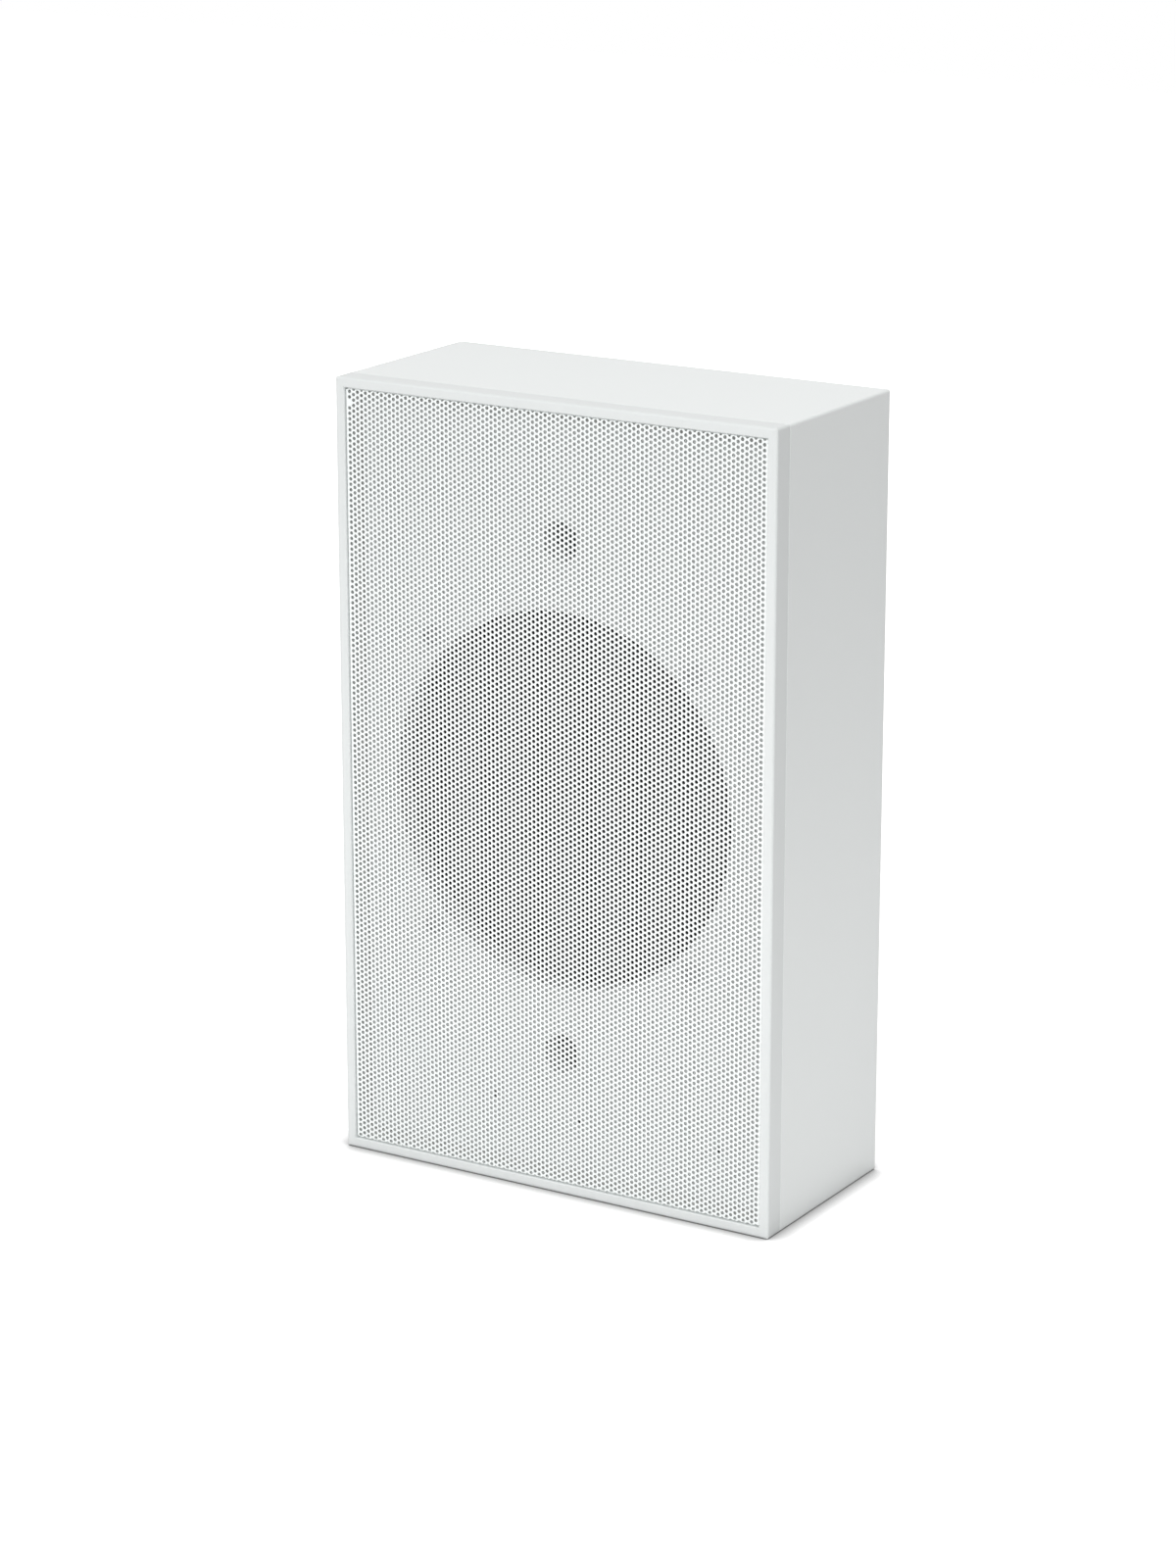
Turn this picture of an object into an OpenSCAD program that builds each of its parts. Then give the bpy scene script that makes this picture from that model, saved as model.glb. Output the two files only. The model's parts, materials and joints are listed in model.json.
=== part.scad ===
// Wall loudspeaker: one full-range driver behind a perforated steel grille.
// +X is to the viewer's right, the grille faces -Y and +Z is up.
// The origin is the middle of the underside of the cabinet.

/* [Cabinet] */
// Width over the side panels
cabinet_w = 182; // [178:1:220]
// Height over the top and bottom panels
cabinet_h = 295; // [285:1:360]
// Depth from the rim of the front frame to the back of the cabinet
cabinet_d = 82; // [81:1:120]
// Board thickness of the four wall panels
panel_t = 6; // [5:0.5:7.5]
// Board thickness of the back panel
back_t = 6; // [5:0.5:7]
// Rounding of the outer edges
edge_r = 1; // [0.6:0.1:2]
// Rounding on each side of the seam behind the front frame
seam_r = 0.35; // [0.2:0.05:0.5]
// Section of the battens that carry the back panel
batten_s = 10; // [9:0.5:10.5]

/* [Front frame and baffle] */
// Depth of the front frame, up to the seam
frame_d = 9; // [8.5:0.5:11]
// Width of the rim round the grille
rim_t = 3.8; // [3:0.1:4.5]
// Chamfer on the inner edge of the rim
rim_chamfer = 0.3; // [0.2:0.1:0.8]
// How far the face of the baffle lies behind the rim
baffle_set = 7; // [6.6:0.1:8]
// Board thickness of the baffle
baffle_t = 9; // [8:0.5:9.5]
// Glue gap round the edge of the baffle
baffle_gap = 0.1; // [0.05:0.05:0.3]
// How far the baffle reaches in over the rim of the driver
baffle_lap = 12; // [11:0.5:16]
// Diameter of the holes that a screwdriver goes through
access_d = 15; // [10:1:20]
// Height between the two wall fixings
fixing_span = 192; // [188:1:200]
// Diameter of the wall fixing holes in the back panel
fixing_d = 5.5; // [4:0.5:8]

/* [Grille] */
// Steel sheet of the grille
sheet_t = 0.6; // [0.5:0.1:1.2]
// Inside radius of the folds
fold_r = 0.3; // [0.2:0.1:1]
// Gap between the grille and the rim
grille_gap = 0.2; // [0.1:0.05:0.5]
// How far the face of the grille lies behind the rim
grille_set = 0.8; // [0.4:0.1:1.2]
// Distance between neighbouring perforations
hole_pitch = 13; // [11:0.5:20]
// Size of a perforation over its corners
hole_d = 7.5; // [5:0.5:9]
// Plain border round the perforated field
hole_border = 4; // [3:0.5:10]
// Thickness of the foam strip behind the grille
strip_t = 1; // [0.6:0.1:1.4]
// Width of the foam strip behind the grille
strip_w = 3; // [2:0.5:4]

/* [Driver frame] */
// Gap between the driver and each side panel
driver_gap = 2.5; // [2:0.1:4]
// Width of the flange round the recess
flange_w = 10.5; // [9:0.1:12]
// Thickness of the gasket
gasket_t = 1.5; // [1:0.1:1.6]
// Sheet thickness of the basket
basket_t = 0.8; // [0.6:0.1:1]
// Depth of the recess that takes the surround
recess_depth = 3.2; // [2.5:0.1:4]
// Width of the land under the surround
land_w = 6; // [5:0.1:7]
// Outer diameter of the land under the spider
spider_d = 76; // [72:1:80]
// Inner diameter of the well behind the spider
well_d = 62; // [60:1:64]
// Height of the well
well_h = 8; // [7:0.5:9]
// Number of windows in the basket
window_n = 4; // [4:4:8]
// Width of the legs between the windows
leg_w = 15; // [10:1:20]

/* [Cone and coil] */
// Paper thickness of the cone
cone_t = 0.6; // [0.4:0.1:1]
// Radius of the half roll of the surround
roll_r = 4; // [3.5:0.1:4.2]
// Thickness of the surround
surround_t = 0.5; // [0.4:0.1:0.8]
// How far the neck of the cone lies in front of the spider
neck_lead = 3.5; // [3:0.1:5]
// Outer diameter of the whizzer cone
whizzer_d = 54; // [40:1:60]
// How far the edge of the whizzer cone stands in front of the cone
whizzer_gap = 5.7; // [3:0.1:8]
// Height of the dust cap
cap_h = 4; // [2:0.5:6]
// Outer diameter of the voice coil former
former_d = 20.2; // [19.6:0.1:20.4]
// Wall of the voice coil former
former_t = 0.2; // [0.15:0.05:0.3]
// Thickness of the winding on the former
winding_t = 0.4; // [0.3:0.05:0.5]
// Height of that winding
winding_h = 7; // [5:0.5:8]
// Depth of the waves of the spider
wave_h = 1.1; // [0.6:0.1:1.4]
// Number of waves of the spider
wave_n = 4; // [3:1:5]

/* [Magnet] */
// Diameter of the magnet
magnet_d = 70; // [64:1:80]
// Thickness of the magnet
magnet_t = 10; // [8:0.5:11]
// Bore of the magnet
magnet_bore = 32; // [26:1:36]
// Diameter of the steel plates
plate_d = 60; // [56:1:62]
// Thickness of each steel plate
plate_t = 4; // [3:0.5:4.5]
// Radial gap on each side of the voice coil
coil_gap = 0.4; // [0.3:0.05:0.6]

/* [Transformer] */
// Width of the centre leg of the core
leg_core = 14; // [12:1:14]
// Thickness of the lamination stack
stack_t = 15; // [12:1:16]
// Middle of the transformer, sideways from the left panel
trafo_in = 43; // [42:0.5:46]
// Middle of the transformer above the inside of the bottom panel
trafo_z = 27; // [26:1:30]

/* [Connector] */
// Width of the connector recess
cup_w = 46; // [42:1:50]
// Height of the connector recess
cup_h = 30; // [28:1:34]
// Depth of the connector recess
cup_d = 16; // [15:0.5:20]
// Middle of the recess, sideways from the right panel
cup_in = 41; // [40:0.5:43]
// Middle of the recess above the inside of the bottom panel
cup_z = 28; // [26:1:32]
// Distance between the poles of the terminal block
pole_pitch = 9; // [8.5:0.5:10]

/* [Damping] */
// Thickness of the damping pad
pad_t = 6; // [4:0.5:8]
// Gap between the pad and the back of the magnet
pad_gap = 1.7; // [1:0.1:4]
// Height of the pad
pad_h = 140; // [120:1:160]
// Gap between the pad and the battens
pad_side = 3; // [1:0.5:10]

/* [Hidden] */
$fn = 64;

// Overshoot of a cut past the face that it opens
cut = 1;
// Gap of a loose fit, such as a screw in its hole
slack = 0.1;
// Gap of a glued or soldered joint
joint_gap = 0.03;

// Planes of the cabinet from front to back
front_y = -cabinet_d / 2;
back_y = cabinet_d / 2;
seam_y = front_y + frame_d;
baffle_y = front_y + baffle_set;
baffle_back_y = baffle_y + baffle_t;
flange_y = baffle_back_y + gasket_t;
inside_back_y = back_y - back_t;
batten_y = inside_back_y - batten_s;
mid_z = cabinet_h / 2;
inner_w = cabinet_w - 2 * panel_t;
inner_h = cabinet_h - 2 * panel_t;

// Grille tray
grille_w = cabinet_w - 2 * (rim_t + grille_gap);
grille_h = cabinet_h - 2 * (rim_t + grille_gap);
grille_y = front_y + grille_set;
grille_back_y = baffle_y - strip_t;
fold_out_r = fold_r + sheet_t;

// Fasteners: M4 in the driver, 3.5 mm wood screws elsewhere
m4_d = 4;
m4_hole_d = 4.5;
m4_head_d = 7.6;
m4_head_h = 2.6;
m4_washer_d = 8;
m4_washer_t = 0.8;
m4_nut_af = 7;
m4_nut_h = 3.2;
m4_tail = 1.5;
wood_d = 3.5;
wood_head_d = 7;
wood_head_h = 2;
wood_len = 14;
small_d = 2.5;
small_head_d = 5;
small_head_h = 1.3;
small_len = 5;

// Driver diameters
driver_d = inner_w - 2 * driver_gap;
opening_d = driver_d - 2 * baffle_lap;
recess_d = driver_d - 2 * flange_w;
driver_pcd = driver_d - flange_w + basket_t;
land_d = recess_d - 2 * land_w;
cone_d = land_d - 4 * roll_r;

// Driver planes, as depths behind the front face of its flange, counted from the back
yoke_depth = inside_back_y - pad_t - pad_gap - plate_t - flange_y;
magnet_depth = yoke_depth - magnet_t;
top_plate_depth = magnet_depth - plate_t;
floor_depth = top_plate_depth - basket_t;
spider_depth = floor_depth - well_h;
neck_depth = spider_depth - neck_lead;
former_r = former_d / 2;
gap_out_r = former_r + winding_t + coil_gap;
pole_r = former_r - former_t - coil_gap;
neck_r = former_r + joint_gap;
motor_chamfer = 0.8;
cone_lip = 3;
cone_bow = -0.08;
cone_edge = [cone_d / 2 - cone_lip, recess_depth];
cone_neck = [neck_r, neck_depth];
whizzer_foot = neck_depth - 1.6;
whizzer_share = (cone_edge[0] - whizzer_d / 2) / (cone_edge[0] - neck_r);
whizzer_depth = flare_point(cone_edge, cone_neck, whizzer_share, cone_bow)[1] - whizzer_gap;
former_top = neck_depth - 2;
gap_mid_depth = top_plate_depth + plate_t / 2;
former_end = gap_mid_depth + winding_h / 2 + 1;

// Battens and their screws
batten_x = inner_w / 2 - batten_s / 2;
batten_top_z = cabinet_h - panel_t - batten_s / 2;
batten_low_z = panel_t + batten_s / 2;
screw_inset_z = 24;
back_screws = [for (sx = [-1, 1], z = [panel_t + screw_inset_z, mid_z,
                                       cabinet_h - panel_t - screw_inset_z])
                   [sx * batten_x, z],
               [0, batten_top_z], [0, batten_low_z]];

// Tag board on the back of the flange, clear of the screwdriver's path
tag_angle = 75;
tag_board_w = 24;
tag_board_t = 1.2;
tag_board_lap = 8.5;
tag_board_reach = 9;
tag_w = 4;
tag_t = 0.5;
tag_len = 9;
tag_gap = 12;
rivet_d = 2.4;
rivet_head_d = 4;
rivet_head_h = 0.7;
rivet_inset = 4.5;
rivet_r = driver_d / 2 - rivet_inset;

// Transformer, whose back lies on the back panel
core_w = 3 * leg_core;
core_h = 2.5 * leg_core;
window_w = leg_core / 2;
window_h = 1.5 * leg_core;
core_y = inside_back_y - core_h;
bobbin_t = 0.9;
bracket_t = 0.8;
bracket_ear = 9;
trafo_x = trafo_in - inner_w / 2;
trafo_mid_z = panel_t + trafo_z;
coil_w = leg_core + 2 * window_w - 1;
coil_h = stack_t + 2 * window_w - 1;
coil_top_z = trafo_mid_z + coil_h / 2;
coil_low_z = trafo_mid_z - coil_h / 2;

// Connector recess in the back panel
cup_t = 1.5;
cup_ear = 8;
cup_lip = 4;
cup_corner_r = 3;
cup_x = inner_w / 2 - cup_in;
cup_mid_z = panel_t + cup_z;
cup_floor_y = back_y - cup_d + cup_t;
cup_screw_x = cup_w / 2 + cup_ear / 2;
cup_screw_inset = 3;
cup_screw_z = cup_h / 2 - cup_screw_inset;
block_w = 3 * pole_pitch + 1;
block_h = 14;
block_d = 10;
block_z = cup_mid_z + cup_h / 2 - cup_t - block_h / 2 - 0.5;
insert_w = 5.5;
insert_h = 10;
insert_d = 6.5;
insert_inset = 1.5;
blade_w = 4;
blade_t = 0.8;
blade_len = 6;
wire_hole_d = 3.2;

// Internal wiring
lead_d = 1.6;
lead_bend = 20;
lead_run = 30;
lead_step = 4.5;
tinsel_d = 1;

// Rectangle round the origin with all four corners rounded
module round_rect(w, h, r) {
    difference() {
        square([w, h], center = true);
        for (sx = [-1, 1], sy = [-1, 1])
            scale([sx, sy]) translate([w / 2, h / 2]) corner_cut(r);
    }
}

// Waste outside a rounded corner whose point is the origin
module corner_cut(r) {
    difference() {
        translate([-r, -r]) square(r + cut);
        translate([-r, -r]) circle(r);
    }
}

// Rectangle from low_y to high_y, with its own radius at each of these ends
module end_rect(w, low_y, high_y, low_r, high_r) {
    difference() {
        translate([-w / 2, low_y]) square([w, high_y - low_y]);
        for (sx = [-1, 1]) scale([sx, 1]) {
            if (high_r > 0) translate([w / 2, high_y]) corner_cut(high_r);
            if (low_r > 0) translate([w / 2, low_y]) scale([1, -1]) corner_cut(low_r);
        }
    }
}

// Block standing on z = 0 with rounded long edges and a radius at each end
module soft_block(w, h, low_y, high_y, long_r, low_r, high_r) {
    intersection() {
        translate([0, high_y, h / 2]) rotate([90, 0, 0])
            linear_extrude(high_y - low_y) round_rect(w, h, long_r);
        linear_extrude(h) end_rect(w, low_y, high_y, low_r, high_r);
        translate([-w / 2, 0, h / 2]) rotate([0, 90, 0])
            linear_extrude(w) end_rect(h, low_y, high_y, low_r, high_r);
    }
}

// Box from low_y to high_y whose middle is at x and z
module y_box(w, h, low_y, high_y, x = 0, z = mid_z) {
    translate([x - w / 2, low_y, z - h / 2]) cube([w, high_y - low_y, h]);
}

// Cylinder along Y
module y_rod(d, low_y, high_y, x = 0, z = mid_z) {
    translate([x, low_y, z]) rotate([-90, 0, 0]) cylinder(d = d, h = high_y - low_y);
}

// Puts a child drawn along +Z so that +Z points to the back
module along_y(y, x = 0, z = mid_z) {
    translate([x, y, z]) rotate([-90, 0, 0]) children();
}

// Outer form of the four wall panels together
module panel_block() {
    soft_block(cabinet_w, cabinet_h, seam_y, back_y, edge_r, seam_r, seam_r);
}

// Mitred part of that block next to one side of the cabinet
module side_panel(side) {
    x_out = side * cabinet_w / 2;
    x_in = side * inner_w / 2;
    intersection() {
        panel_block();
        translate([0, back_y + cut, 0]) rotate([90, 0, 0]) linear_extrude(cabinet_d)
            polygon([[x_out, 0], [x_out, cabinet_h],
                     [x_in, cabinet_h - panel_t], [x_in, panel_t]]);
    }
}

// Mitred part of that block between the heights z_out and z_in
module end_panel(z_out, z_in) {
    intersection() {
        panel_block();
        translate([0, back_y + cut, 0]) rotate([90, 0, 0]) linear_extrude(cabinet_d)
            polygon([[-cabinet_w / 2, z_out], [cabinet_w / 2, z_out],
                     [inner_w / 2, z_in], [-inner_w / 2, z_in]]);
    }
}

module top_panel() {
    color("#f0f1f0") end_panel(cabinet_h, cabinet_h - panel_t);
}

module bottom_panel() {
    color("#f0f1f0") end_panel(0, panel_t);
}

module left_panel() {
    color("#f0f1f0") side_panel(-1);
}

module right_panel() {
    color("#f0f1f0") side_panel(1);
}

// Countersunk wood screw that points to +Z, with its head at z = 0
module countersunk_screw(head_d, head_h, d, len) {
    recess_w = d * 0.28;
    difference() {
        union() {
            cylinder(d1 = head_d, d2 = d, h = head_h);
            cylinder(d = d, h = len - d);
            translate([0, 0, len - d]) cylinder(d1 = d, d2 = d * 0.2, h = d);
        }
        for (a = [0, 90]) rotate(a)
            translate([0, 0, head_h * 0.2])
                cube([head_d * 0.6, recess_w, head_h], center = true);
    }
}

// Hole for that screw, wider than the screw by the slack all round
module countersunk_hole(head_d, head_h, d, len) {
    translate([0, 0, -cut]) cylinder(d = head_d + 2 * slack, h = cut + slack);
    translate([0, 0, slack])
        cylinder(d1 = head_d + 2 * slack, d2 = d + 2 * slack, h = head_h);
    cylinder(d = d + 2 * slack, h = len + slack);
}

module turn_back() {
    rotate([90, 0, 0]) children();
}

module back_panel() {
    color("#e9e9e6")
        difference() {
            y_box(inner_w, inner_h, inside_back_y, back_y);
            for (p = back_screws)
                translate([p[0], back_y, p[1]]) turn_back()
                    countersunk_hole(wood_head_d, wood_head_h, wood_d, wood_len);
            for (s = [-1, 1])
                y_rod(fixing_d, inside_back_y - cut, back_y + cut, 0, mid_z + s * fixing_span / 2);
            connector_cutout();
            trafo_screw_places() cylinder(d = wood_d + 2 * slack, h = small_len + slack);
        }
}

// Place for the connector recess and for the rim that lies flush in the panel
module connector_cutout() {
    y_box(cup_w + 2 * slack, cup_h + 2 * slack, inside_back_y - cut, back_y + cut,
          cup_x, cup_mid_z);
    y_box(cup_w + 2 * cup_ear + 2 * slack, cup_h + 2 * cup_lip + 2 * slack,
          back_y - cup_t - slack, back_y + cut, cup_x, cup_mid_z);
    cup_screw_places() cylinder(d = small_d + 2 * slack, h = small_len + slack);
}

module batten(w, h, x, z) {
    color("#d9c59a")
        difference() {
            y_box(w, h, batten_y, inside_back_y, x, z);
            for (p = back_screws)
                translate([p[0], back_y, p[1]]) turn_back()
                    cylinder(d = wood_d + 2 * slack, h = wood_len + slack);
        }
}

module left_batten() {
    batten(batten_s, inner_h, -batten_x, mid_z);
}

module right_batten() {
    batten(batten_s, inner_h, batten_x, mid_z);
}

module top_batten() {
    batten(inner_w - 2 * batten_s, batten_s, 0, batten_top_z);
}

module bottom_batten() {
    batten(inner_w - 2 * batten_s, batten_s, 0, batten_low_z);
}

module back_panel_screws() {
    color("#b9bbbd")
        for (p = back_screws)
            translate([p[0], back_y, p[1]]) turn_back()
                countersunk_screw(wood_head_d, wood_head_h, wood_d, wood_len);
}

// Wedge that breaks one inner edge of the rim
module rim_bevel(len) {
    rotate([0, 90, 0]) translate([0, 0, -len / 2]) linear_extrude(len)
        polygon([[-rim_chamfer - cut, -cut], [cut, -cut], [cut, rim_chamfer],
                 [0, rim_chamfer], [-rim_chamfer, 0], [-rim_chamfer - cut, 0]]);
}

module front_frame() {
    mouth_w = cabinet_w - 2 * rim_t;
    mouth_h = cabinet_h - 2 * rim_t;
    color("#f2f3f2")
        difference() {
            soft_block(cabinet_w, cabinet_h, front_y, seam_y, edge_r, edge_r, seam_r);
            y_box(mouth_w, mouth_h, front_y - cut, seam_y + cut);
            translate([0, front_y, mid_z]) for (a = [0, 180]) rotate([0, a, 0]) {
                translate([0, 0, mouth_h / 2]) rim_bevel(mouth_w + 2 * rim_chamfer);
                rotate([0, 90, 0]) translate([0, 0, mouth_w / 2])
                    rim_bevel(mouth_h + 2 * rim_chamfer);
            }
        }
}

// Places of the four driver screws, seen from the front
module driver_screw_places(y) {
    for (a = [45, 135, 225, 315])
        translate([driver_pcd / 2 * cos(a), y, mid_z + driver_pcd / 2 * sin(a)])
            rotate([-90, 0, 0]) children();
}

module baffle_board() {
    lip_w = cabinet_w - 2 * rim_t - 2 * baffle_gap;
    lip_h = cabinet_h - 2 * rim_t - 2 * baffle_gap;
    color("#eeefee")
        difference() {
            union() {
                y_box(lip_w, lip_h, baffle_y, seam_y);
                y_box(inner_w - 2 * baffle_gap, inner_h - 2 * baffle_gap, baffle_y, baffle_back_y);
            }
            y_rod(opening_d, baffle_y - cut, baffle_back_y + cut);
            for (s = [-1, 1])
                y_rod(access_d, baffle_y - cut, baffle_back_y + cut, 0,
                      mid_z + s * fixing_span / 2);
            driver_screw_places(baffle_y - cut) cylinder(d = m4_hole_d, h = baffle_t + 2 * cut);
        }
}

// Perforated field: staggered holes in upright columns, centred on the grille
module perforations() {
    column_gap = hole_pitch * sin(60);
    half_w = grille_w / 2 - hole_border - hole_d / 2;
    half_h = grille_h / 2 - hole_border - hole_d / 2;
    columns = floor(half_w / column_gap);
    for (i = [-columns : columns]) {
        shift = i % 2 == 0 ? 0 : hole_pitch / 2;
        rows = floor((half_h + shift) / hole_pitch);
        for (j = [-rows + (shift > 0 ? 1 : 0) : rows])
            translate([i * column_gap, 0, mid_z + j * hole_pitch - shift])
                rotate([-90, 22.5, 0])
                    cylinder(d = hole_d, h = sheet_t + 2 * cut, $fn = 8);
    }
}

// Folded tray: the outer form less the same form set in by the sheet
module grille() {
    lift = (cabinet_h - grille_h) / 2;
    color("#eceeed")
        difference() {
            translate([0, 0, lift])
                soft_block(grille_w, grille_h, grille_y, grille_back_y, fold_out_r, fold_out_r, 0);
            translate([0, 0, lift + sheet_t])
                soft_block(grille_w - 2 * sheet_t, grille_h - 2 * sheet_t,
                           grille_y + sheet_t, grille_back_y + cut, fold_r, fold_r, 0);
            translate([0, grille_y - cut, 0]) perforations();
        }
}

module grille_foam_strip() {
    color("#4a4a4a")
        difference() {
            y_box(grille_w, grille_h, grille_back_y, baffle_y);
            y_box(grille_w - 2 * strip_w, grille_h - 2 * strip_w,
                  grille_back_y - cut, baffle_y + cut);
        }
}

module driver_gasket() {
    color("#8d7a5c")
        difference() {
            y_rod(driver_d, baffle_back_y, flange_y);
            y_rod(recess_d, baffle_back_y - cut, flange_y + cut);
            driver_screw_places(baffle_back_y - cut)
                cylinder(d = m4_hole_d, h = gasket_t + 2 * cut);
        }
}

// Section of the pressed basket: radius first, then depth behind the flange face
function basket_outline() = let(
    flange_r = driver_d / 2, recess_r = recess_d / 2, land_r = land_d / 2,
    spider_r = spider_d / 2, well_r = well_d / 2, floor_r = gap_out_r + 2,
    slant = basket_t * 0.55)
    [[flange_r, 0], [recess_r, 0], [recess_r, recess_depth], [land_r, recess_depth],
     [spider_r, spider_depth], [well_r, spider_depth], [well_r, floor_depth],
     [floor_r, floor_depth], [floor_r, floor_depth + basket_t],
     [well_r + basket_t, floor_depth + basket_t],
     [well_r + basket_t, spider_depth + basket_t],
     [spider_r + slant, spider_depth + basket_t], [land_r + slant, recess_depth + basket_t],
     [recess_r + basket_t, recess_depth + basket_t], [recess_r + basket_t, basket_t],
     [flange_r, basket_t]];

// Opening between two legs, drawn as a plan view
module window_plan() {
    difference() {
        circle(d = land_d - 8);
        circle(d = spider_d + 8);
        for (i = [0 : window_n - 1])
            rotate((i + 0.5) * 360 / window_n)
                translate([0, -leg_w / 2]) square([driver_d, leg_w]);
    }
}

module driver_basket() {
    color("#3b3c3e")
        along_y(flange_y)
            difference() {
                rotate_extrude() polygon(basket_outline());
                translate([0, 0, recess_depth + basket_t + 0.5])
                    linear_extrude(spider_depth - recess_depth - basket_t - 1) window_plan();
                for (a = [45, 135, 225, 315]) rotate(a)
                    translate([driver_pcd / 2, 0, -cut])
                        cylinder(d = m4_hole_d, h = basket_t + 2 * cut);
                tag_place() for (s = [-1, 1])
                    translate([rivet_r, s * tag_gap / 2, -cut])
                        cylinder(d = rivet_d + slack, h = basket_t + 2 * cut);
            }
}

// Half roll with a lip on each side, glued to the land and to the cone
module surround() {
    roll_mid = land_d / 2 - roll_r;
    lip_out = recess_d / 2 - slack;
    lip_in = cone_d / 2 - cone_lip;
    color("#1d1d1f")
        along_y(flange_y) rotate_extrude() {
            translate([roll_mid, recess_depth - surround_t])
                difference() {
                    circle(roll_r + surround_t / 2);
                    circle(roll_r - surround_t / 2);
                    translate([-2 * roll_r, surround_t]) square(4 * roll_r);
                }
            translate([roll_mid + roll_r - surround_t / 2, recess_depth - surround_t])
                square([lip_out - roll_mid - roll_r + surround_t / 2, surround_t]);
            translate([lip_in, recess_depth - surround_t])
                square([roll_mid - roll_r + surround_t / 2 - lip_in, surround_t]);
        }
}

// Point at the share s of a curved generator, radius first, then depth
function flare_point(outer, inner, s, bow) =
    [outer[0] + (inner[0] - outer[0]) * s,
     outer[1] + (inner[1] - outer[1]) * (s + bow * sin(180 * s))];

// Curved generator between an outer and an inner point
function flare(outer, inner, steps, bow) =
    [for (i = [0 : steps]) flare_point(outer, inner, i / steps, bow)];

// Revolved sheet that follows a generator, with its thickness laid behind it
module flared_sheet(line, t) {
    n = len(line);
    rotate_extrude()
        polygon(concat(line, [for (i = [n - 1 : -1 : 0]) line[i] + [0, t]]));
}

// Generator of the cone: a flat edge under the surround, then the curved wall
function cone_line() =
    concat([[cone_d / 2, recess_depth]], flare(cone_edge, cone_neck, 10, cone_bow));

module cone() {
    color("#202022") along_y(flange_y) flared_sheet(cone_line(), cone_t);
}

module whizzer_cone() {
    line = flare([whizzer_d / 2, whizzer_depth], [neck_r, whizzer_foot], 8, 0.1);
    color("#242426") along_y(flange_y) flared_sheet(line, cone_t * 0.7);
}

// Spherical cap glued on the end of the former
module dust_cap() {
    rim_r = former_r;
    ball_r = (rim_r * rim_r + cap_h * cap_h) / (2 * cap_h);
    color("#1a1a1c")
        along_y(flange_y) translate([0, 0, former_top])
            intersection() {
                difference() {
                    translate([0, 0, ball_r - cap_h]) sphere(ball_r);
                    translate([0, 0, ball_r - cap_h + 0.4]) sphere(ball_r);
                }
                translate([0, 0, -cap_h - cut]) cylinder(r = rim_r, h = cap_h + cut);
            }
}

module voice_coil_former() {
    color("#b08850")
        along_y(flange_y) translate([0, 0, former_top])
            difference() {
                cylinder(r = former_r, h = former_end - former_top);
                translate([0, 0, -cut])
                    cylinder(r = former_r - former_t, h = former_end + 2 * cut);
            }
}

module voice_coil_winding() {
    color("#b5652d")
        along_y(flange_y) translate([0, 0, gap_mid_depth - winding_h / 2])
            difference() {
                cylinder(r = former_r + winding_t, h = winding_h);
                translate([0, 0, -cut]) cylinder(r = former_r + joint_gap, h = winding_h + 2 * cut);
            }
}

// Corrugated disc between the former and its land on the basket
module spider() {
    inner = former_r + joint_gap;
    flat = well_d / 2 - 1;
    outer = spider_d / 2 - 0.8;
    t = 0.5;
    steps = 8 * wave_n;
    line = concat([for (i = [0 : steps]) let(s = i / steps)
                      [inner + (flat - inner) * s,
                       spider_depth - t - wave_h / 2 * (1 - cos(360 * wave_n * s))]],
                  [[outer, spider_depth - t]]);
    color("#c69a4b") along_y(flange_y) flared_sheet(line, t);
}

module top_plate() {
    color("#a9adb1")
        along_y(flange_y) translate([0, 0, top_plate_depth])
            difference() {
                cylinder(d = plate_d, h = plate_t);
                translate([0, 0, -cut]) cylinder(r = gap_out_r, h = plate_t + 2 * cut);
            }
}

module magnet() {
    color("#2e2f31")
        along_y(flange_y) translate([0, 0, magnet_depth])
            difference() {
                union() {
                    cylinder(d1 = magnet_d - 2 * motor_chamfer, d2 = magnet_d, h = motor_chamfer);
                    translate([0, 0, motor_chamfer])
                        cylinder(d = magnet_d, h = magnet_t - 2 * motor_chamfer);
                    translate([0, 0, magnet_t - motor_chamfer])
                        cylinder(d1 = magnet_d, d2 = magnet_d - 2 * motor_chamfer, h = motor_chamfer);
                }
                translate([0, 0, -cut]) cylinder(d = magnet_bore, h = magnet_t + 2 * cut);
            }
}

// Back plate and pole in one piece
module yoke() {
    color("#a9adb1")
        along_y(flange_y) {
            translate([0, 0, top_plate_depth])
                cylinder(r = pole_r, h = yoke_depth - top_plate_depth + motor_chamfer);
            translate([0, 0, yoke_depth]) cylinder(d = plate_d, h = plate_t - motor_chamfer);
            translate([0, 0, yoke_depth + plate_t - motor_chamfer])
                cylinder(d1 = plate_d, d2 = plate_d - 2 * motor_chamfer, h = motor_chamfer);
        }
}

// Turns a child so that +X runs outwards through the tag board
module tag_place() {
    rotate(180 - tag_angle) children();
}

module tag_board() {
    color("#7a4a22")
        along_y(flange_y) tag_place() translate([0, 0, basket_t])
            difference() {
                translate([driver_d / 2 - tag_board_lap, -tag_board_w / 2, 0])
                    cube([tag_board_lap + tag_board_reach, tag_board_w, tag_board_t]);
                for (s = [-1, 1])
                    translate([rivet_r, s * tag_gap / 2, -cut])
                        cylinder(d = rivet_d + slack, h = tag_board_t + 2 * cut);
            }
}

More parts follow.
